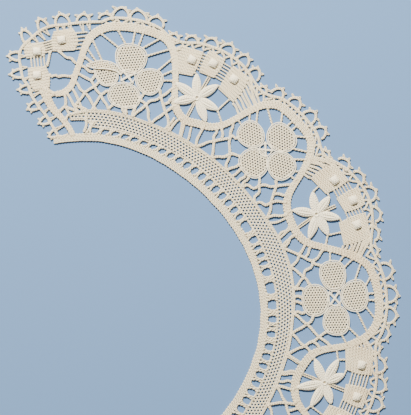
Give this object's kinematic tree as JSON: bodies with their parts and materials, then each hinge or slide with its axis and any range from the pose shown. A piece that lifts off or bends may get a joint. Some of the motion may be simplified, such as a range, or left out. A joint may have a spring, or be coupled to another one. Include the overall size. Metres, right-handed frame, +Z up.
{
  "type": "bobbin lace collar",
  "caption": "Scalloped ivory bobbin lace collar lying flat, with mesh flowers, leaf sprigs, raised woven squares and a looped picot edging.",
  "frame": {"origin": "centre of the collar's box, on the surface it lies on", "axes": "+X across the collar, +Y towards its front opening with the centre back towards -Y, +Z up out of the cloth"},
  "size_m": [0.2396, 0.2118, 0.0023],
  "materials": {
    "lace_thread": "matte, with a faint linen sheen"
  },
  "bodies": {
    "root": {"lace_collar": "lace_thread"}
  },
  "joints": []
}
